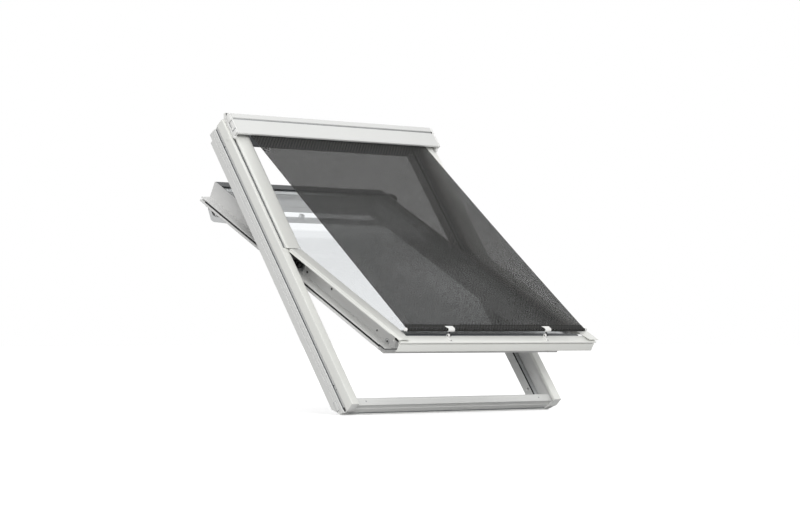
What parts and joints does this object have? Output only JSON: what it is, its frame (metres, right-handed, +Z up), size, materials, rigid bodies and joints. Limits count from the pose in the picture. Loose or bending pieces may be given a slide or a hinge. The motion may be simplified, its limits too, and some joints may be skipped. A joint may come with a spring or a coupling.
{
  "type": "roof window with outside roller screen",
  "caption": "Centre-pivot roof window standing open in its frame, with a casing across the top whose roller screen runs down to a bar clipped to the sash.",
  "frame": {"origin": "Middle of the step across the head of the frame that rests on the roof batten.", "axes": "X runs across the window, to the right as seen from outside. Z is up. Y is level and points into the house. The window lies in a roof pitch of 54.1 degrees and rises towards +Y."},
  "size_m": [0.78, 0.9105, 0.8443],
  "materials": {
    "white_core": "moulded, satin",
    "white_metal": "semi-gloss paint",
    "white_sash": "lacquered, satin",
    "grey_metal": "satin paint",
    "dark_metal": "satin paint",
    "bare_metal": "satin",
    "steel": "zinc plated",
    "black_metal": "matt",
    "black_rubber": "matt",
    "clear_glass": "clear",
    "screen_fabric": "open weave",
    "white_plastic": "moulded",
    "black_plastic": "moulded"
  },
  "bodies": {
    "frame": {"side_member_left": "white_core", "side_member_right": "white_core", "side_cladding_left": "white_metal", "side_cladding_right": "white_metal", "frame_seal_left": "black_rubber", "frame_seal_right": "black_rubber", "bottom_member": "white_core", "bottom_cladding": "grey_metal", "top_member": "dark_metal", "upper_cover_left": "white_metal", "upper_cover_right": "white_metal", "hinge_frame_half_left": "black_metal", "hinge_frame_half_right": "black_metal", "screen_casing": "grey_metal", "casing_cap_left": "white_plastic", "casing_cap_right": "white_plastic", "guide_rod": "steel", "fabric_leader": "screen_fabric"},
    "sash": {"sash_side_left": "white_sash", "sash_side_right": "white_sash", "sash_top_member": "white_sash", "sash_bottom_member": "white_sash", "sash_seal_left": "black_rubber", "sash_seal_right": "black_rubber", "sash_top_cover": "dark_metal", "outer_pane": "clear_glass", "inner_pane": "clear_glass", "glass_spacer": "bare_metal", "glazing_bar": "black_rubber", "bottom_cover": "white_metal", "lower_cover_left": "white_metal", "lower_cover_right": "white_metal", "pivot_cover_left": "white_metal", "pivot_cover_right": "white_metal", "hinge_sash_half_left": "steel", "hinge_sash_half_right": "steel", "screw_left": "steel", "screw_right": "steel", "screen_lug_left": "white_plastic", "screen_lug_right": "white_plastic", "bar_bearing_left": "steel", "bar_bearing_right": "steel", "lock_case": "steel", "bolt_housing": "black_plastic"},
    "screen": {"fabric_sheet": "screen_fabric"},
    "draw_bar": {"bottom_bar": "bare_metal", "hem_sleeve": "screen_fabric", "bar_cap_left": "white_plastic", "bar_cap_right": "white_plastic"},
    "roller": {"roller": "bare_metal", "fabric_roll": "screen_fabric"},
    "clip_left": {"screen_clip_left": "white_plastic"},
    "clip_right": {"screen_clip_right": "white_plastic"},
    "control_bar": {"control_bar": "bare_metal", "bar_bracket_left": "bare_metal", "bar_bracket_right": "bare_metal"},
    "vent_flap": {"vent_flap": "white_sash"},
    "latch_bolt": {"latch_bolt": "steel"},
    "cleaning_bolt": {"cleaning_bolt": "steel"}
  },
  "joints": [
    {"name": "sash_pivot", "type": "hinge", "parent": "frame", "child": "sash", "pos_m": [0, -0.30541, -0.36222], "axis": [-1, 0, 0], "range_deg": [-25.87, 7]},
    {"name": "screen_turn", "type": "hinge", "parent": "sash", "child": "screen", "pos_m": [0, -0.77356, -0.5458], "axis": [-1, 0, 0], "range_deg": [-4, 12]},
    {"name": "screen_draw", "type": "slide", "parent": "screen", "child": "draw_bar", "axis": [0, 0.7727, 0.6348], "range_m": [0, 0.82], "deforming": ["fabric_sheet"]},
    {"name": "roller_spin", "type": "hinge", "parent": "frame", "child": "roller", "pos_m": [0, -0.07704, 0.0428], "axis": [-1, 0, 0], "continuous": true},
    {"name": "clip_left_turn", "type": "hinge", "parent": "sash", "child": "clip_left", "pos_m": [-0.18, -0.77637, -0.56172], "axis": [1, 0, 0], "range_deg": [0, 70]},
    {"name": "clip_right_turn", "type": "hinge", "parent": "sash", "child": "clip_right", "pos_m": [0.18, -0.77637, -0.56172], "axis": [1, 0, 0], "range_deg": [0, 70]},
    {"name": "control_bar_turn", "type": "hinge", "parent": "sash", "child": "control_bar", "pos_m": [0, 0.111, -0.19496], "axis": [1, 0, 0], "range_deg": [0, 25]},
    {"name": "vent_flap_turn", "type": "hinge", "parent": "sash", "child": "vent_flap", "pos_m": [0, 0.07887, -0.18542], "axis": [-1, 0, 0], "range_deg": [0, 25]},
    {"name": "latch_slide", "type": "slide", "parent": "sash", "child": "latch_bolt", "axis": [0, -0.8811, -0.473], "range_m": [0, 0.0021]},
    {"name": "cleaning_bolt_slide", "type": "slide", "parent": "sash", "child": "cleaning_bolt", "axis": [1, 0, 0], "range_m": [0, 0.012]}
  ],
  "couplings": [
    {"joint": "screen_turn", "follows": "sash_pivot", "ratio": -0.4516},
    {"joint": "roller_spin", "follows": "screen_draw", "rad_per_m": 120.5},
    {"joint": "vent_flap_turn", "follows": "control_bar_turn", "ratio": 1},
    {"joint": "latch_slide", "follows": "control_bar_turn", "m_per_rad": 0.0046}
  ]
}
